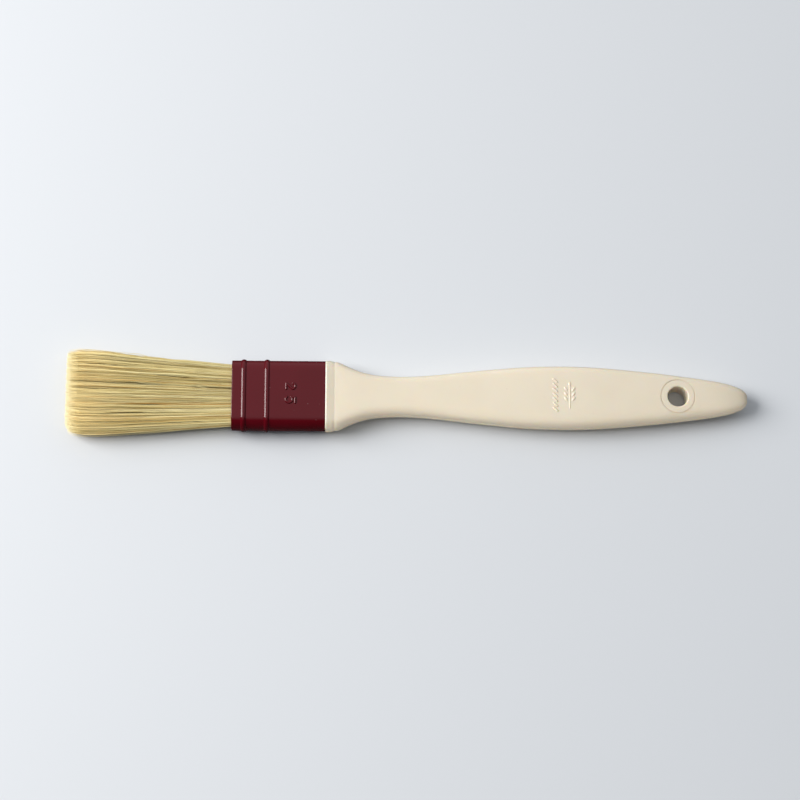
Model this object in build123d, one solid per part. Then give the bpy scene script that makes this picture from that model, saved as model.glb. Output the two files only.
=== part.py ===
from build123d import *
import math
import os

os.makedirs("parts", exist_ok=True)

# A flat pastry brush for bakery work, lying on its back. Millimetres.
# +X runs from the bristle tips to the nose of the handle, +Y across the width, +Z up.
# The origin is under the middle of the brush, on the surface that it lies on.

# Driving dimensions, along the brush
bristle_length = 58.6  # free bristle, from the tips to the mouth of the ferrule
ferrule_length = 33.0
handle_length = 149.6  # what shows beyond the ferrule
overall = bristle_length + ferrule_length + handle_length

# Ferrule: a moulded flat-oval sleeve with two raised beads
ferrule_width = 25.0
ferrule_thickness = 10.0
ferrule_corner = 4.5
ferrule_wall = 1.4
mouth_rounding = 0.25
bead_height = 0.45
bead_half_width = 0.95
bead_depths = (4.2, 12.4)  # from the mouth to the middle of each bead
mid_height = ferrule_thickness / 2 + bead_height  # the beads rest on the surface

# Size number on the top flat of the ferrule, drawn with half-sunk round rods
digit_height = 4.1
digit_width = 3.0
digit_gap = 1.9
digit_rod = 0.46
digit_relief = 0.36
digit_depth = 20.8  # from the mouth to the middle of the number

# What the ferrule holds, as depths from its mouth
inner_clearance = 0.1
root_start = 0.4
resin_start = 11.0
butt_depth = 17.0  # where the bristles end
resin_end = 21.0
tenon_start = 21.3
resin_skin = 0.6  # resin round the butt ends
strip_width = 17.0
strip_thickness = 1.4
strip_corner = 0.6
strip_start = 1.0
strip_end = 14.0

# Free bristles: they bend about a line across the brush just outside the mouth
bend_reach = 4.0  # from the mouth to the bending line
bend_radius = 3.6  # half the thickness of the head at the bending line
flare = [  # (station from the tips, half width, half thickness, corner)
    (32.0, 12.9, 4.30, 2.9),
    (10.0, 15.2, 4.95, 3.2),
    (2.0, 15.0, 4.75, 3.2),
    (0.0, 13.9, 4.00, 3.0),
]

# Hanging hole and the witness ring of the mould insert round it
hole_station = 216.1
hole_radius = 3.6
hole_rounding = 0.4
rim_search = 1.5  # how far a rim's length may be from the hole's
witness_radius = 6.0
witness_width = 0.40
witness_depth = 0.22

# Raised ear of wheat beside a row of plain slanted bars, on the top of the handle
ear_station = 177.7
ear_relief = 0.28
grain_length = 2.9
grain_radius = 0.62
grain_rows = 3
grain_pitch = 1.75
grain_offset = 1.35
grain_lean = 34.0
first_grain = -1.4  # along the ear, from its middle
stem_start = -4.7
stem_rod = 0.34
stem_relief = 0.16
bars_station = 172.6
bar_count = 7
bar_length = 1.6
bar_rod = 0.42
bar_relief = 0.30
bar_pitch = 1.72
bar_slant = 42.0

# Parting line of the moulds: a fine ridge at mid height, round the grip and along the ferrule
parting_height = 0.20
parting_width = 0.5
parting_start = 97.5
ferrule_parting = 0.12

# Handle outlines, as (station from the bristle tips, value). The collar comes first: it is
# ruled from section to section, so that its lip and the groove behind it stay crisp.
collar_start = bristle_length + ferrule_length
groove = collar_start + 3.2
nose = overall

half_widths = [
    (collar_start, 12.30),
    (collar_start + 0.4, 12.50),
    (collar_start + 2.2, 12.38),
    (groove, 12.05),
    (groove + 1.4, 11.92),
    (98.7, 10.75),
    (101.3, 9.62),
    (104.6, 8.37),
    (108.5, 7.50),
    (113.0, 7.05),
    (118.5, 6.88),
    (124.5, 7.10),
    (132.0, 7.72),
    (141.0, 8.75),
    (151.0, 9.75),
    (161.0, 10.62),
    (171.0, 11.02),
    (181.0, 11.00),
    (190.0, 10.58),
    (200.0, 9.77),
    (210.0, 8.80),
    (220.0, 7.62),
    (228.5, 6.44),
    (234.0, 5.42),
    (237.4, 4.38),
    (239.8, 3.15),
    (nose, 1.40),
]

half_thicknesses = [
    (collar_start, 5.04),
    (collar_start + 0.4, 5.25),
    (collar_start + 2.2, 4.93),
    (groove, 4.74),
    (groove + 1.4, 4.79),
    (101.3, 4.85),
    (108.5, 4.81),
    (118.5, 4.78),
    (141.0, 4.95),
    (161.0, 5.22),
    (177.0, 5.32),
    (200.0, 5.02),
    (220.0, 4.50),
    (228.5, 4.05),
    (234.0, 3.45),
    (237.4, 2.80),
    (239.8, 2.00),
    (nose, 0.90),
]

# Squareness of the handle's section: flat across the top, rounded at the sides, squarer below
side_powers = [(collar_start, 7.6), (118.5, 5.6), (171.0, 7.0), (nose, 4.0)]
crown_powers = [(collar_start, 3.3), (118.5, 3.1), (171.0, 3.5), (nose, 2.6)]
under_power = 4.6
section_points = 24  # on the section's spline
fine_steps = 720  # for spacing them evenly


def x_at(station):
    # Stations start at the bristle tips, the part's X at its middle
    return station - overall / 2


def across(station):
    # A sketch plane across the brush, with its own x along +Y and its own y along +Z
    return Plane(origin=(x_at(station), 0, mid_height), x_dir=(0, 1, 0), z_dir=(1, 0, 0))


def value_at(outline, station):
    # Smooth curve through an outline's points, without overshoot (monotone cubic)
    steps = list(zip(outline, outline[1:]))
    slopes = [(q[1] - p[1]) / (q[0] - p[0]) for p, q in steps]
    tangents = [slopes[0]]
    for before, after in zip(slopes, slopes[1:]):
        product = before * after
        tangents.append(2 * product / (before + after) if product > 0 else 0.0)
    tangents.append(slopes[-1])
    for index, (p, q) in enumerate(steps):
        if station <= q[0]:
            break
    span = q[0] - p[0]
    t = (station - p[0]) / span
    start = (2 * t**3 - 3 * t**2 + 1) * p[1] + (t**3 - 2 * t**2 + t) * span * tangents[index]
    end = (3 * t**2 - 2 * t**3) * q[1] + (t**3 - t**2) * span * tangents[index + 1]
    return start + end


def signed_power(value, power):
    return math.copysign(abs(value) ** power, value)


def evenly_spaced(outline, count):
    # Points at equal distances round a closed outline, starting with its first
    sides = list(zip(outline, outline[1:] + outline[:1]))
    lengths = [math.dist(p, q) for p, q in sides]
    pitch = sum(lengths) / count
    points = []
    travelled = 0.0
    for (p, q), length in zip(sides, lengths):
        while len(points) < count and len(points) * pitch <= travelled + length:
            t = (len(points) * pitch - travelled) / length
            points.append((p[0] + t * (q[0] - p[0]), p[1] + t * (q[1] - p[1])))
        travelled += length
    return points


def handle_section(station, grow):
    # A squared oval, flatter on top and bottom than at the sides, and squarer in its lower half
    half_width = value_at(half_widths, station) + grow
    half_thickness = value_at(half_thicknesses, station) + grow
    side = 2 / value_at(side_powers, station)
    crown = 2 / value_at(crown_powers, station)
    under = 2 / under_power
    underneath = -math.pi / 2  # where the outline starts, so that its seam is out of sight
    turns = [underneath + 2 * math.pi * step / fine_steps for step in range(fine_steps)]
    outline = [
        (
            half_width * signed_power(math.cos(turn), side),
            half_thickness * signed_power(math.sin(turn), crown if math.sin(turn) > 0 else under),
        )
        for turn in turns
    ]
    points = evenly_spaced(outline, section_points)
    return across(station) * make_face(Spline(*points, periodic=True))


def grip(grow=0.0):
    # From the groove behind the collar to the nose
    stations = [station for station, _ in half_widths if station >= groove]
    return loft([handle_section(station, grow) for station in stations])


def collar():
    stations = [station for station, _ in half_widths if station <= groove]
    return loft([handle_section(station, 0.0) for station in stations], ruled=True)


def flat_oval(width, thickness, corner, start, end):
    # A rounded bar along the brush, between two depths from the ferrule's mouth
    section = across(bristle_length + start) * RectangleRounded(width, thickness, corner)
    return extrude(section, amount=end - start)


inner_width = ferrule_width - 2 * ferrule_wall
inner_thickness = ferrule_thickness - 2 * ferrule_wall
inner_corner = ferrule_corner - ferrule_wall
fill_width = inner_width - 2 * inner_clearance
fill_thickness = inner_thickness - 2 * inner_clearance
fill_corner = inner_corner - inner_clearance


def bead(depth):
    # A half-round ring: a rod whose centre line is sunk under the sleeve's surface
    radius = (bead_height**2 + bead_half_width**2) / (2 * bead_height)
    sunk = radius - bead_height
    width = ferrule_width - 2 * sunk
    thickness = ferrule_thickness - 2 * sunk
    ring = RectangleRounded(width, thickness, ferrule_corner - sunk)
    path = (across(bristle_length + depth) * ring).wire()
    profile = Plane(origin=path @ 0, z_dir=path % 0) * Circle(radius)
    return sweep(profile, path=path)


def rods(radius, *edges):
    # Round rods along the edges, with round ends and joins
    shape = Part()
    for edge in edges:
        shape += sweep(Plane(origin=edge @ 0, z_dir=edge % 0) * Circle(radius), path=edge)
        for place in (edge @ 0, edge @ 1):
            shape += Pos(place) * Sphere(radius)
    return shape


def top_face(station, height):
    # A plane on the top, where text reads with its head towards the nose
    return Plane(origin=(x_at(station), 0, height), x_dir=(0, -1, 0), z_dir=(0, 0, 1))


def digit_two(w, h):
    crown = ThreePointArc((-w, 0.5 * h), (0, h), (w, 0.45 * h))
    slope = Line((w, 0.45 * h), (-w, -h))
    foot = Line((-w, -h), (w, -h))
    return rods(digit_rod, crown, slope, foot)


def digit_five(w, h):
    top = Line((w, h), (-0.8 * w, h))
    back = Line((-0.8 * w, h), (-w, 0.1 * h))
    bowl = ThreePointArc((-w, 0.1 * h), (w, -0.35 * h), (-w, -0.8 * h))
    return rods(digit_rod, top, back, bowl)


def size_number():
    w = digit_width / 2 - digit_rod
    h = digit_height / 2 - digit_rod
    shift = (digit_width + digit_gap) / 2
    height = mid_height + ferrule_thickness / 2 + digit_relief - digit_rod
    face = top_face(bristle_length + digit_depth, height)
    return face.location * (Pos(-shift, 0) * digit_two(w, h) + Pos(shift, 0) * digit_five(w, h))


def make_ferrule():
    sleeve = flat_oval(ferrule_width, ferrule_thickness, ferrule_corner, 0, ferrule_length)
    sleeve = fillet(sleeve.faces().sort_by(Axis.X)[0].edges(), mouth_rounding)
    for depth in bead_depths:
        sleeve += bead(depth)
    sleeve += size_number()
    seam_width = ferrule_width + 2 * ferrule_parting
    middle = Pos(x_at(bristle_length + ferrule_length / 2), 0, mid_height)
    sleeve += middle * Box(ferrule_length - 2 * mouth_rounding, seam_width, parting_width)
    return sleeve - flat_oval(inner_width, inner_thickness, inner_corner, -1, ferrule_length + 1)


def grain(along, side, lean):
    # One husk of the ear: a pointed spindle, leaning away from the stem
    reach = grain_length / 2
    edge = ThreePointArc((0, -reach), (grain_radius, 0), (0, reach))
    profile = make_face(edge + Line((0, reach), (0, -reach)))
    spindle = revolve(profile, Axis.Y, 360)
    return Pos(-along, side) * Rot(0, 0, 90 + lean) * spindle


def ear():
    # The ear lies across the handle, its tip towards +Y
    height = mid_height + value_at(half_thicknesses, ear_station)
    grains = Part()
    for row in range(grain_rows):
        along = first_grain + row * grain_pitch
        for side in (-1, 1):
            grains += grain(along, side * grain_offset, -side * grain_lean)
    tip = first_grain + grain_rows * grain_pitch
    grains += grain(tip, 0, 0)
    stem = rods(stem_rod, Line((-stem_start, 0), (-tip, 0)))
    grain_face = top_face(ear_station, height + ear_relief - grain_radius)
    stem_face = top_face(ear_station, height + stem_relief - stem_rod)
    return grain_face.location * grains + stem_face.location * stem


def bars():
    height = mid_height + value_at(half_thicknesses, bars_station)
    row = Part()
    for bar in range(bar_count):
        shift = (bar - (bar_count - 1) / 2) * bar_pitch
        line = Line((0, -bar_length / 2), (0, bar_length / 2))
        row += Pos(shift, 0) * Rot(0, 0, -bar_slant) * rods(bar_rod, line)
    return top_face(bars_station, height + bar_relief - bar_rod).location * row


def parting_ridge():
    # Where the two halves of the mould meet
    length = nose - parting_start
    slab = Box(length, 2 * ferrule_width, parting_width)
    middle = Pos(x_at(parting_start) + length / 2, 0, mid_height)
    return grip(parting_height) & (middle * slab)


def make_handle():
    body = grip() + parting_ridge() + ear() + bars()

    hole_at = Pos(x_at(hole_station), 0, mid_height)
    ring = Cylinder(witness_radius + witness_width / 2, 2 * ferrule_thickness)
    ring -= Cylinder(witness_radius - witness_width / 2, 2 * ferrule_thickness)
    upper_half = Pos(0, 0, ferrule_thickness / 2) * Box(
        ferrule_width, ferrule_width, ferrule_thickness
    )
    body -= (hole_at * (ring & upper_half)) - grip(-witness_depth)

    body -= hole_at * Cylinder(hole_radius, 3 * ferrule_thickness)
    rims = [
        edge
        for edge in body.edges()
        if (edge.center() - hole_at.position).length < ferrule_thickness
        and abs(edge.length - 2 * math.pi * hole_radius) < rim_search
    ]
    body = fillet(rims, hole_rounding)
    tenon = flat_oval(fill_width, fill_thickness, fill_corner, tenon_start, ferrule_length + 1)
    return body + collar() + tenon


def make_strip():
    return flat_oval(strip_width, strip_thickness, strip_corner, strip_start, strip_end)


def make_roots(strip):
    # The bristles inside the ferrule, narrower where the resin grips them
    open_part = flat_oval(fill_width, fill_thickness, fill_corner, root_start, resin_start)
    narrow = fill_width - 2 * resin_skin
    thin = fill_thickness - 2 * resin_skin
    gripped = flat_oval(narrow, thin, fill_corner - resin_skin, resin_start, butt_depth)
    return open_part + gripped - strip


def make_resin(roots, strip):
    block = flat_oval(fill_width, fill_thickness, fill_corner, resin_start, resin_end)
    return block - roots - strip


def make_head():
    # The free bristles as one solid that flares to the tips, round where it bends
    inner_half = fill_width / 2
    bend_station = bristle_length - bend_reach
    straight = [
        (station, inner_half, bend_radius, fill_corner)
        for station in (bristle_length, bend_station)
    ]
    head = loft(
        [
            across(station) * RectangleRounded(2 * width, 2 * thick, corner)
            for station, width, thick, corner in straight + flare
        ]
    )
    bend_place = Pos(x_at(bend_station), 0, mid_height)
    round_end = bend_place * Rot(90, 0, 0) * Cylinder(bend_radius, 2 * ferrule_width)
    free_end = bend_place * Pos(-overall / 2, 0, 0) * Box(overall, 2 * ferrule_width, overall)
    return head & (round_end + free_end)


def above(solid):
    keep = Pos(0, 0, mid_height + overall / 2) * Box(2 * overall, overall, overall)
    return solid & keep


def below(solid):
    keep = Pos(0, 0, mid_height - overall / 2) * Box(2 * overall, overall, overall)
    return solid & keep


strip = make_strip()
roots = make_roots(strip)
head = make_head()

export_step(make_handle(), "parts/handle.step")
export_step(make_ferrule(), "parts/ferrule.step")
export_step(strip, "parts/filler_strip.step")
export_step(make_resin(roots, strip), "parts/setting_resin.step")
export_step(above(roots), "parts/bristle_roots_upper.step")
export_step(below(roots), "parts/bristle_roots_lower.step")
export_step(above(head), "parts/bristles_upper.step")
export_step(below(head), "parts/bristles_lower.step")
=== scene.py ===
import math
import bpy
import numpy as np
from mathutils import Matrix, Vector


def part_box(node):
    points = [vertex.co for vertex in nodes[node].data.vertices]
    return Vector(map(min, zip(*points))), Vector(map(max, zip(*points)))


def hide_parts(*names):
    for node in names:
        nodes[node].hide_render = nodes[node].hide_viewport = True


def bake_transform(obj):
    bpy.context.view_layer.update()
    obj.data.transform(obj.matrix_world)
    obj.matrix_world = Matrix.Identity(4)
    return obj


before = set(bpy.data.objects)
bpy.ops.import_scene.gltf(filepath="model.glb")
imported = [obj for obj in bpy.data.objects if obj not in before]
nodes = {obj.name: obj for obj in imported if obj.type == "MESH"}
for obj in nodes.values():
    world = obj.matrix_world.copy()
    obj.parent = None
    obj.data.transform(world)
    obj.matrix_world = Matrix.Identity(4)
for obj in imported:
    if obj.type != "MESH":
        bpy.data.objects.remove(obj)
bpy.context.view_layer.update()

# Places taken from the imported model, in metres
ferruleLow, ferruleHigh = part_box("ferrule")
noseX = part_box("handle")[1].x
rootsLow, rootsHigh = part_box("bristle_roots_lower")[0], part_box("bristle_roots_upper")[1]
mouthX, tipX = ferruleLow.x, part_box("bristles_lower")[0].x
midZ = (ferruleLow.z + ferruleHigh.z) / 2
mm = 0.001
print("frame loaded, brush length", round((noseX - tipX) / mm, 1), "mm")


def newMaterial(name):
    material = bpy.data.materials.new(name)
    material.use_nodes = True
    tree = material.node_tree
    return material, tree, tree.nodes["Principled BSDF"]


def fill(tree, socket, value):
    # A link where the value is a socket, otherwise a plain value
    if isinstance(value, bpy.types.NodeSocket):
        tree.links.new(value, socket)
    elif isinstance(value, tuple) and len(value) == 3 and socket.type == "RGBA":
        socket.default_value = (*value, 1.0)
    else:
        socket.default_value = value


def addNode(tree, kind, values=None, **settings):
    node = tree.nodes.new(kind)
    for key, value in settings.items():
        setattr(node, key, value)
    for socket, value in (values or {}).items():
        fill(tree, node.inputs[socket], value)
    return node


def ramp(tree, source, stops):
    node = addNode(tree, "ShaderNodeValToRGB", {"Fac": source})
    elements = node.color_ramp.elements
    while len(elements) < len(stops):
        elements.new(0.5)
    for element, (place, colour) in zip(elements, stops):
        element.position = place
        element.color = (*colour, 1.0)
    return node.outputs["Color"]


def mixColour(tree, factor, first, second, blend="MIX"):
    values = {0: factor, 6: first, 7: second}
    return addNode(tree, "ShaderNodeMix", values, data_type="RGBA", blend_type=blend).outputs[2]


def calc(tree, operation, *values):
    return addNode(tree, "ShaderNodeMath", dict(enumerate(values)), operation=operation).outputs[0]


def remap(tree, value, low, high, outLow=0.0, outHigh=1.0):
    values = {"Value": value, "From Min": low, "From Max": high, "To Min": outLow, "To Max": outHigh}
    return addNode(tree, "ShaderNodeMapRange", values).outputs["Result"]


def makeGroup(name, inputs, outputs):
    group = bpy.data.node_groups.new(name, "ShaderNodeTree")
    for label, value in inputs.items():
        socket = group.interface.new_socket(label, in_out="INPUT", socket_type="NodeSocketFloat")
        socket.default_value = value
    for label in outputs:
        group.interface.new_socket(label, in_out="OUTPUT", socket_type="NodeSocketFloat")
    return group, group.nodes.new("NodeGroupInput"), group.nodes.new("NodeGroupOutput")


def useGroup(tree, group, values):
    return addNode(tree, "ShaderNodeGroup", values, node_tree=group).outputs


skinMarks = {
    "hairlines": (  # turn, and how finely the noise is cut along and across the line
        (0.5, (90.0, 2600.0, 900.0)),
        (-1.1, (120.0, 3000.0, 900.0)),
    ),
    "hairlineFrom": 0.70,
    "hairlineTo": 0.76,
    "dustCells": 330.0,
    "emptyCells": 0.62,  # the share of cells without a speck
    "speckEdge": 0.09,
    "speckCore": 0.03,
}


# Moulded skin shared by the plastics: slow drift of colour, fine grain, hairline scratches, dust
def makeSkinGroup():
    inputs = {"Drift Scale": 60.0, "Grain Scale": 900.0, "Scratch Amount": 0.5, "Dust Amount": 0.5}
    group, given, result = makeGroup("mouldedSkin", inputs, ["Drift", "Grain", "Scratches", "Dust"])
    place = addNode(group, "ShaderNodeTexCoord").outputs["Object"]
    drift = addNode(group, "ShaderNodeTexNoise", {
        "Vector": place, "Scale": given.outputs["Drift Scale"], "Detail": 3.0})
    grain = addNode(group, "ShaderNodeTexNoise", {
        "Vector": place, "Scale": given.outputs["Grain Scale"], "Detail": 4.0, "Roughness": 0.6})
    group.links.new(remap(group, drift.outputs["Fac"], 0.35, 0.65), result.inputs["Drift"])
    group.links.new(grain.outputs["Fac"], result.inputs["Grain"])

    # hairlines: noise drawn out long and thin, in two directions
    lines = []
    for turn, stretch in skinMarks["hairlines"]:
        laid = addNode(group, "ShaderNodeMapping", {
            "Vector": place, "Rotation": (0.0, 0.0, turn), "Scale": stretch})
        noise = addNode(group, "ShaderNodeTexNoise", {
            "Vector": laid.outputs["Vector"], "Scale": 1.0, "Detail": 1.0})
        lines.append(
            remap(group, noise.outputs["Fac"], skinMarks["hairlineFrom"], skinMarks["hairlineTo"]))
    either = calc(group, "MAXIMUM", *lines)
    group.links.new(
        calc(group, "MULTIPLY", either, given.outputs["Scratch Amount"]), result.inputs["Scratches"])

    # dust: a few small specks, each in its own cell
    cells = addNode(group, "ShaderNodeTexVoronoi", {"Vector": place, "Scale": skinMarks["dustCells"]})
    chosen = calc(group, "GREATER_THAN", cells.outputs["Color"], skinMarks["emptyCells"])
    speck = remap(group, cells.outputs["Distance"], skinMarks["speckEdge"], skinMarks["speckCore"])
    dusty = calc(group, "MULTIPLY", calc(group, "MULTIPLY", speck, chosen), given.outputs["Dust Amount"])
    group.links.new(dusty, result.inputs["Dust"])
    return group


skinGroup = makeSkinGroup()
print("shared skin ready")

bristleHead = {
    "count": 5600,
    "pieces": 6,
    "locksAcross": 30,
    "locksDeep": 7,
    "rings": 17,
    "sides": 4,
    "radiusMm": 0.088,
    "flarePerMm": 0.079,  # half width gained with each mm out from the mouth
    "flareReachMm": 46.0,
    "endHalfThickMm": 4.6,
    "leanMm": 1.00,  # the tips lie a little to +Y
    "blendMm": 24.0,  # from the mouth to where the bend is full
    "floorGapMm": 0.35,
    "strays": 8,
    "strayMm": (0.3, 1.1),
    "seed": 7,
}

lockLooks = {  # a low and high value, or a spread, all in mm but the pull and the turns
    "pull": (0.04, 0.36),
    "drift": 0.22,
    "rise": 0.22,
    "wave": (0.02, 0.14),
    "turns": (0.5, 1.3),
    "lean": 0.16,
}

trimmedFront = {
    "cornerMm": 1.1,  # eased at the two sides
    "faceMm": 0.9,  # eased at top and bottom
    "spreadMm": 0.70,
    "shortShare": 0.20,
    "shortMm": (0.4, 4.5),
}

# Places where the top bristles part: across, start and end out from the mouth, opening, all in mm
partings = [
    (1.9, -6.0, 17.0, 0.30),
    (4.9, 11.0, 29.0, 0.26),
    (10.8, 16.0, 40.0, 0.34),
    (7.0, 34.0, 55.0, 0.26),
    (-3.9, 22.0, 40.0, 0.24),
    (-6.3, 26.0, 46.0, 0.22),
    (0.4, 42.0, 58.0, 0.24),
    (2.4, 24.0, 44.0, 0.20),
    (-9.5, 8.0, 26.0, 0.16),
    (-3.0, 4.0, 16.0, 0.14),
]


def smooth(t):
    t = np.clip(t, 0, 1)
    return t * t * (3 - 2 * t)


def headHalfWidth(d):
    # Half width of the head in mm, d mm out from the mouth
    start = (rootsHigh.y - rootsLow.y) / 2 / mm - 0.12
    reach = bristleHead["flareReachMm"]
    return start + bristleHead["flarePerMm"] * (np.minimum(d, reach) + 0.3 * np.clip(d - reach, 0, 13))


def headHalfThick(d):
    start = (rootsHigh.z - rootsLow.z) / 2 / mm - 0.15
    growth = (bristleHead["endHalfThickMm"] - start) / 50
    return start + growth * np.minimum(d, 50)


def makeLocks(rng, u, v):
    # Centres on a jittered grid, each lock with its own pull, drift and wave
    across, deep = bristleHead["locksAcross"], bristleHead["locksDeep"]
    gridU, gridV = np.meshgrid(np.arange(across), np.arange(deep))
    lockU = (gridU.ravel() + rng.uniform(0.15, 0.85, across * deep)) / across * 2 - 1
    lockV = (gridV.ravel() + rng.uniform(0.15, 0.85, across * deep)) / deep * 2 - 1
    gap = (u[:, None] - lockU) ** 2 * 15.0**2 + (v[:, None] - lockV) ** 2 * 5.0**2
    near = np.argmin(gap * rng.uniform(0.5, 1.7, gap.shape), axis=1)
    count = len(lockU)
    locks = {
        "u": lockU, "v": lockV,
        "pull": rng.uniform(*lockLooks["pull"], count),
        "drift": rng.normal(0, lockLooks["drift"], count),
        "rise": rng.normal(0, lockLooks["rise"], count),
        "wave": rng.uniform(*lockLooks["wave"], count),
        "turns": rng.uniform(*lockLooks["turns"], count),
        "phase": rng.uniform(0, 2 * math.pi, count),
        "lean": rng.normal(0, lockLooks["lean"], count),
    }
    return {key: value[near][:, None] for key, value in locks.items()}


def wander(turns, phase, t):
    # A slow swing that starts from nothing at the mouth
    return np.sin(2 * math.pi * turns * t + phase) - np.sin(phase)


def bristleEnds(rng, u, v, length):
    # How far out each bristle reaches: a trimmed front with eased corners and a few short ones
    eased = trimmedFront["cornerMm"] * np.clip((np.abs(u) - 0.80) / 0.20, 0, 1) ** 2.5
    eased += trimmedFront["faceMm"] * np.clip((np.abs(v) - 0.5) / 0.5, 0, 1) ** 2
    ends = length - 0.05 - eased - np.abs(rng.normal(0, trimmedFront["spreadMm"], len(u)))
    short = rng.random(len(u)) < trimmedFront["shortShare"]
    return ends - np.where(short, rng.uniform(*trimmedFront["shortMm"], len(u)), 0)


def bristlePaths():
    rng = np.random.default_rng(bristleHead["seed"])
    count = bristleHead["count"]
    u = rng.uniform(-1, 1, count * 2)
    v = rng.uniform(-1, 1, count * 2)
    keep = np.abs(u) ** 8 + np.abs(v) ** 4 < 1
    u, v = u[keep][:count], v[keep][:count]
    count = len(u)
    locks = makeLocks(rng, u, v)

    length = (mouthX - tipX) / mm
    held = (rootsHigh.x - mouthX) / mm - 1.0
    ends = bristleEnds(rng, u, v, length)
    inside = np.array([-held, -held / 2])
    outside = np.linspace(0, 1, bristleHead["rings"] - len(inside))
    d = np.concatenate([np.tile(inside, (count, 1)), outside * ends[:, None]], axis=1)
    out = np.clip(d, 0, None)
    t = out / length
    width, thick = headHalfWidth(out), headHalfThick(out)
    y, z = u[:, None] * width, v[:, None] * thick

    gather = locks["pull"] * smooth((t - 0.02) / 0.45) * (1 - 0.6 * smooth((t - 0.72) / 0.28))
    y += (locks["u"] * width - y) * gather
    z += (locks["v"] * thick - z) * gather
    y += locks["wave"] * wander(locks["turns"], locks["phase"], t) * smooth(t / 0.5)
    y += locks["drift"] * t**1.5 + locks["lean"] * t
    z += 0.8 * locks["rise"] * t**1.5

    # each bristle's own set
    own = rng.normal(0, 1, (count, 4))
    ownTurns = rng.uniform(0.6, 2.2, count)[:, None]
    ownPhase = rng.uniform(0, 2 * math.pi, count)[:, None]
    ownSwing = wander(ownTurns, ownPhase, t) * smooth(t / 0.3)
    y += 0.06 * own[:, :1] * ownSwing + 0.24 * own[:, 1:2] * t**1.6
    z += 0.05 * own[:, 3:4] * ownSwing + 0.26 * own[:, 2:3] * t**1.6

    # the top bristles part along a few lines
    onTop = smooth((v + 0.1) / 0.7)[:, None]
    for across, start, end, opening in partings:
        line = across * width / headHalfWidth(0)
        off = y - line
        along = smooth((d - start) / 5) * smooth((end - d) / 7)
        y += opening * np.sign(off) * np.exp(-((off / 0.9) ** 2)) * along * onTop

    # a few strays leave the -Y side of the head
    edge = np.where((u < -0.93) & (v < 0.3))[0]
    strays = rng.choice(edge, bristleHead["strays"], replace=False)
    away = -rng.uniform(*bristleHead["strayMm"], len(strays))
    y[strays] += away[:, None] * smooth(t[strays] * 1.3) ** 1.4

    y *= 1 - 0.05 * smooth((t - 0.90) / 0.10)  # the last few mm turn in
    y += bristleHead["leanMm"] * t**1.2
    z = np.maximum(z, bristleHead["floorGapMm"] - midZ / mm)  # clear of the floor
    points = np.stack([mouthX / mm - d, y, z + midZ / mm], axis=2) * mm
    tone = rng.random(count)
    tone[(np.abs(u + 0.36) < 0.018) & (v > 0.60)] = 0.985  # one amber lock
    return points, t, tone, rng.permutation(count)


def strandMesh(name, points, along, tone):
    # Closed tubes, one along each row of points, with a map of (length, tone) for the finish
    count, rings = points.shape[:2]
    sides = bristleHead["sides"]
    ownSize = 0.85 + 0.3 * ((tone * 7.3) % 1)  # no two bristles quite alike
    radius = bristleHead["radiusMm"] * mm * (1 - 0.35 * along) * ownSize[:, None]
    radius[:, -1] *= 0.35
    angle = np.arange(sides) * 2 * math.pi / sides
    ring = np.stack([np.zeros(sides), np.cos(angle), np.sin(angle)], axis=1)
    vertices = points[:, :, None, :] + radius[:, :, None, None] * ring[None, None]
    vertices = vertices.reshape(-1, 3)

    strand = np.arange(count)[:, None, None] * rings * sides
    step = np.arange(rings - 1)[None, :, None] * sides
    side = np.arange(sides)[None, None, :]
    after = (side + 1) % sides
    quads = np.stack(
        [strand + step + side, strand + step + after,
         strand + step + sides + after, strand + step + sides + side], axis=3
    )
    quads = np.broadcast_to(quads, (count, rings - 1, sides, 4)).reshape(-1, 4)
    firstCap = (np.arange(count)[:, None] * rings * sides) + np.arange(sides)[::-1]
    lastCap = firstCap[:, ::-1] + (rings - 1) * sides
    faces = np.concatenate([quads, firstCap, lastCap])

    mesh = bpy.data.meshes.new(name)
    mesh.vertices.add(len(vertices))
    mesh.vertices.foreach_set("co", vertices.ravel())
    mesh.loops.add(faces.size)
    mesh.loops.foreach_set("vertex_index", faces.ravel().astype(np.int32))
    mesh.polygons.add(len(faces))
    mesh.polygons.foreach_set("loop_start", (np.arange(len(faces)) * 4).astype(np.int32))
    mesh.update(calc_edges=True)
    mesh.polygons.foreach_set("use_smooth", np.ones(len(faces), bool))

    uv = mesh.uv_layers.new(name="OFBake")
    mapU = np.repeat(along[:, :, None], sides, axis=2).reshape(-1)
    mapV = np.repeat(np.repeat(tone[:, None], rings, axis=1)[:, :, None], sides, axis=2).reshape(-1)
    loops = np.stack([mapU[faces.ravel()], mapV[faces.ravel()]], axis=1)
    uv.data.foreach_set("uv", (loops * 0.98 + 0.01).ravel())
    piece = bpy.data.objects.new(name, mesh)
    bpy.context.scene.collection.objects.link(piece)
    return piece


bristleColours = [
    (0.00, (0.38, 0.28, 0.10)),
    (0.13, (0.66, 0.53, 0.235)),
    (0.35, (0.85, 0.725, 0.38)),
    (0.60, (0.90, 0.79, 0.44)),
    (0.82, (0.94, 0.84, 0.52)),
    (0.93, (0.78, 0.57, 0.24)),
    (0.97, (0.62, 0.34, 0.095)),
    (1.00, (0.56, 0.29, 0.07)),
]


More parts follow.
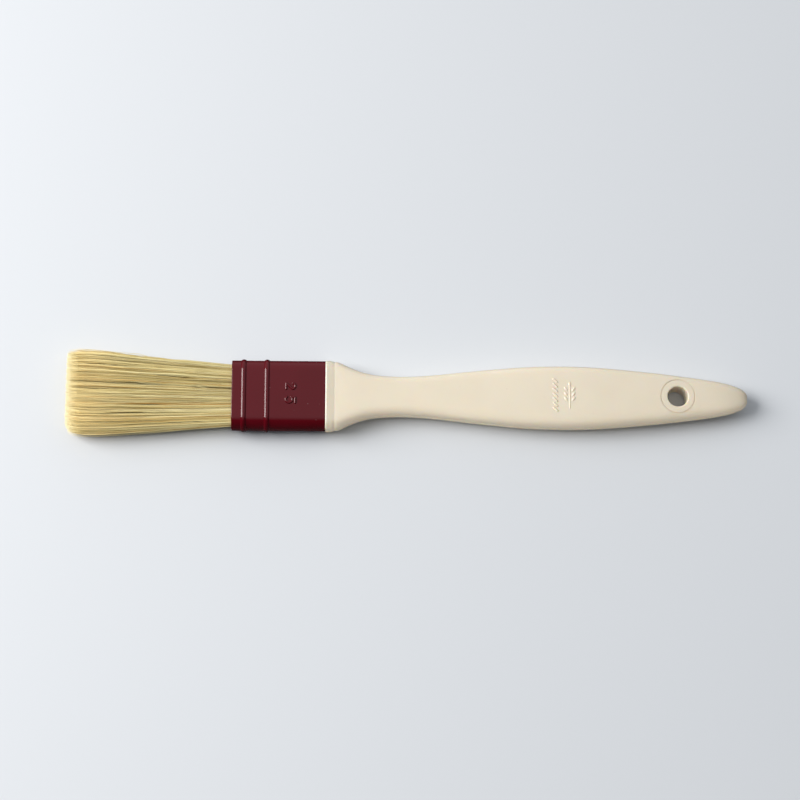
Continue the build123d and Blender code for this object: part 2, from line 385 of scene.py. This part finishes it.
def bristleMaterial():
    # The map's first axis runs along the bristle, its second picks the bristle's own tone
    material, tree, shader = newMaterial("naturalBristle")
    uv = addNode(tree, "ShaderNodeUVMap", uv_map="OFBake").outputs["UV"]
    parts = addNode(tree, "ShaderNodeSeparateXYZ", {"Vector": uv})
    along, tone = parts.outputs["X"], parts.outputs["Y"]
    straw = ramp(tree, tone, bristleColours)
    laid = addNode(tree, "ShaderNodeMapping", {"Vector": uv, "Scale": (9.0, 140.0, 1.0)})
    mottle = addNode(tree, "ShaderNodeTexNoise", {
        "Vector": laid.outputs["Vector"], "Scale": 1.0, "Detail": 3.0}).outputs["Fac"]
    stain = ramp(tree, mottle, [(0.30, (0.40, 0.30, 0.12)), (0.60, (0.86, 0.79, 0.56))])
    mottled = mixColour(tree, 0.40, straw, stain, "SOFT_LIGHT")
    warmth = ramp(tree, along, [(0.60, (0, 0, 0)), (0.88, (1, 1, 1)), (1.0, (0.4, 0.4, 0.4))])
    patchy = calc(tree, "MULTIPLY", warmth, remap(tree, mottle, 0.35, 0.62, 0.20, 0.75))
    honey = mixColour(tree, patchy, mottled, (0.98, 0.80, 0.40))
    # painted shade: the colour is darkened towards the mouth, where the packed bristles shade one another,
    # and lightened out to the tips
    paintedMouthShade = ramp(tree, along, [(0.0, (0.80, 0.80, 0.80)), (0.5, (0.90, 0.90, 0.90)), (0.85, (1, 1, 1))])
    honey = mixColour(tree, 1.0, honey, paintedMouthShade, "MULTIPLY")
    bleach = ramp(tree, along, [(0.91, (0, 0, 0)), (1.0, (0.80, 0.80, 0.80))])
    fill(tree, shader.inputs["Base Color"], mixColour(tree, bleach, honey, (0.76, 0.71, 0.50)))
    fill(tree, shader.inputs["Roughness"], remap(tree, mottle, 0.0, 1.0, 0.42, 0.64))
    shader.inputs["Specular IOR Level"].default_value = 0.35
    return material


def makeBristles():
    points, along, tone, order = bristlePaths()
    material = bristleMaterial()
    for index, chosen in enumerate(np.array_split(order, bristleHead["pieces"])):
        name = "bristles_" + "abcdefgh"[index]
        piece = strandMesh(name, points[chosen], along[chosen], tone[chosen])
        piece.data.materials.append(material)
        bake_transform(piece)
        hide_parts("bristles_upper", "bristles_lower", "bristle_roots_upper", "bristle_roots_lower")
    print("bristles made:", len(points))


makeBristles()

creamLook = {
    "colour": (0.712, 0.636, 0.505), "second": (0.732, 0.656, 0.525), "dustColour": (0.62, 0.54, 0.42),
    "driftScale": 55.0, "grainScale": 1100.0, "scratches": 0.5, "dust": 0.5,
    "rough": 0.36, "roughSpread": 0.05, "bump": 0.12, "gloss": 0.5, "depth": 0.35,
}
maroonLook = {
    "colour": (0.081, 0.0004, 0.0034), "second": (0.090, 0.0007, 0.0046), "dustColour": (0.20, 0.12, 0.12),
    "driftScale": 45.0, "grainScale": 650.0, "scratches": 0.8, "dust": 0.5,
    "rough": 0.12, "roughSpread": 0.02, "bump": 0.03, "gloss": 0.42, "depth": 0.0,
}
stripLook = {
    "colour": (0.50, 0.38, 0.22), "second": (0.46, 0.34, 0.19), "dustColour": (0.36, 0.27, 0.15),
    "driftScale": 90.0, "grainScale": 700.0, "scratches": 0.3, "dust": 0.2,
    "rough": 0.5, "roughSpread": 0.06, "bump": 0.15, "gloss": 0.4, "depth": 0.0,
}
resinLook = {
    "colour": (0.30, 0.17, 0.06), "second": (0.36, 0.21, 0.08), "dustColour": (0.24, 0.14, 0.05),
    "driftScale": 120.0, "grainScale": 500.0, "scratches": 0.1, "dust": 0.1,
    "rough": 0.22, "roughSpread": 0.05, "bump": 0.15, "gloss": 0.5, "depth": 0.0,
}


def plasticMaterial(name, look):
    material, tree, shader = newMaterial(name)
    skin = useGroup(tree, skinGroup, {
        "Drift Scale": look["driftScale"], "Grain Scale": look["grainScale"],
        "Scratch Amount": look["scratches"], "Dust Amount": look["dust"]})
    colour = mixColour(tree, skin["Drift"], look["colour"], look["second"])
    colour = mixColour(tree, skin["Dust"], colour, look["dustColour"])
    fill(tree, shader.inputs["Base Color"], colour)
    low, high = look["rough"] - look["roughSpread"], look["rough"] + look["roughSpread"]
    rough = remap(tree, skin["Grain"], 0.3, 0.7, low, high)
    scuffed = calc(tree, "MULTIPLY_ADD", skin["Scratches"], 0.12, rough)
    fill(tree, shader.inputs["Roughness"], calc(tree, "MULTIPLY_ADD", skin["Dust"], 0.2, scuffed))
    height = calc(tree, "MULTIPLY_ADD", skin["Scratches"], -0.5, skin["Grain"])
    bump = addNode(tree, "ShaderNodeBump", {
        "Strength": look["bump"], "Distance": 0.00005, "Height": height})
    fill(tree, shader.inputs["Normal"], bump.outputs["Normal"])
    shader.inputs["Specular IOR Level"].default_value = look["gloss"]
    shader.inputs["Subsurface Weight"].default_value = look["depth"]
    shader.inputs["Subsurface Radius"].default_value = (1.0, 0.55, 0.25)
    shader.inputs["Subsurface Scale"].default_value = 0.004
    return material


def paintNode(name, look, finish):
    mesh = nodes[name].data
    mesh.materials.clear()
    mesh.materials.append(plasticMaterial(finish, look))


paintNode("handle", creamLook, "creamPlastic")
paintNode("ferrule", maroonLook, "maroonPlastic")
paintNode("filler_strip", stripLook, "stripPlastic")
paintNode("setting_resin", resinLook, "amberResin")
print("plastics painted")


studio = {
    "elevation": 77.0,  # degrees above the floor
    "aside": -1.7,  # degrees to the left of the brush's middle
    "roll": 0.48,
    "distance": 0.850,
    "lens": 108.1,
    "target": (-0.0026, -0.0011, 0.0054),
    "windowTurn": 13.0,  # degrees from the brush's axis, on the bristle side
    "windowHeight": 38.0,
    "windowDistance": 1.40,
    "windowSize": (0.80, 1.00),
    "windowPower": 25.7,
    "fillHeight": 12.0,  # a weak soft light from the -Y side
    "fillDistance": 1.30,
    "fillSize": (1.60, 0.80),
    "fillPower": 8.6,
    "floorSide": 1.5,
    "floorColour": (0.660, 0.683, 0.715),
}


def makeCamera():
    data = bpy.data.cameras.new("camera")
    data.lens = studio["lens"]
    data.sensor_width = 36.0
    camera = bpy.data.objects.new("camera", data)
    bpy.context.scene.collection.objects.link(camera)
    aim = Matrix.Rotation(math.radians(studio["roll"]), 4, "Z")
    aim @= Matrix.Rotation(math.radians(90 - studio["elevation"]), 4, "X")
    aim @= Matrix.Rotation(math.radians(studio["aside"]), 4, "Y")
    back = Matrix.Translation((0, 0, studio["distance"]))
    camera.matrix_world = Matrix.Translation(studio["target"]) @ aim @ back
    bpy.context.scene.camera = camera


def makeLight(name, turn, colour):
    # A soft panel facing the brush; the turn is measured from the bristle side towards +Y
    data = bpy.data.lights.new(name, "AREA")
    data.shape = "RECTANGLE"
    data.size, data.size_y = studio[name + "Size"]
    data.energy = studio[name + "Power"]
    data.color = colour
    panel = bpy.data.objects.new(name, data)
    bpy.context.scene.collection.objects.link(panel)
    turn, height = math.radians(turn), math.radians(studio[name + "Height"])
    flat = math.cos(height)
    place = Vector((-flat * math.cos(turn), flat * math.sin(turn), math.sin(height)))
    panel.location = place * studio[name + "Distance"]
    panel.rotation_euler = (-place).to_track_quat("-Z", "Y").to_euler()
    return panel


def makeLights(floor):
    makeLight("window", studio["windowTurn"], (1.0, 0.985, 0.965))
    weak = makeLight("fill", -90.0, (1.0, 0.96, 0.90))
    weak.visible_glossy = False
    # the floor and the ferrule keep their dark sides
    leftOut = bpy.data.collections.new("leftOutOfFill")
    for index, dark in enumerate((floor, nodes["ferrule"])):
        leftOut.objects.link(dark)
        leftOut.collection_objects[index].light_linking.link_state = "EXCLUDE"
    weak.light_linking.receiver_collection = leftOut


def makeRoom():
    # Light ceiling and rear wall, dark towards the viewer; the camera itself sees a plain pale wall
    world = bpy.data.worlds.new("room")
    bpy.context.scene.world = world
    world.use_nodes = True
    tree = world.node_tree
    toward = addNode(tree, "ShaderNodeTexCoord").outputs["Generated"]
    facing = addNode(tree, "ShaderNodeVectorMath", {
        0: toward, 1: Vector((-0.10, 0.64, 0.76)).normalized()}, operation="DOT_PRODUCT")
    glow = addNode(tree, "ShaderNodeMapRange", {
        "Value": facing.outputs["Value"], "From Min": 0.20, "From Max": 0.75,
        "To Min": 0.06, "To Max": 0.65}, interpolation_type="SMOOTHSTEP")
    seen = addNode(tree, "ShaderNodeLightPath").outputs["Is Camera Ray"]
    strength = addNode(tree, "ShaderNodeMix", {
        "Factor": seen, "A": glow.outputs["Result"], "B": 0.80})
    background = tree.nodes["Background"]
    background.inputs["Color"].default_value = (0.93, 0.965, 1.0, 1.0)
    tree.links.new(strength.outputs["Result"], background.inputs["Strength"])
    bpy.context.scene.view_settings.view_transform = "Standard"


def makeFloor():
    side = studio["floorSide"]
    mesh = bpy.data.meshes.new("floor")
    corners = [(-side, -side, 0), (side, -side, 0), (side, side, 0), (-side, side, 0)]
    mesh.from_pydata(corners, [], [(0, 1, 2, 3)])
    floor = bpy.data.objects.new("floor", mesh)
    bpy.context.scene.collection.objects.link(floor)
    material, _, shader = newMaterial("paleFloor")
    shader.inputs["Base Color"].default_value = (*studio["floorColour"], 1.0)
    shader.inputs["Roughness"].default_value = 0.55
    mesh.materials.append(material)
    floor.visible_glossy = False
    return floor


makeCamera()
makeRoom()
makeLights(makeFloor())
print("studio ready")
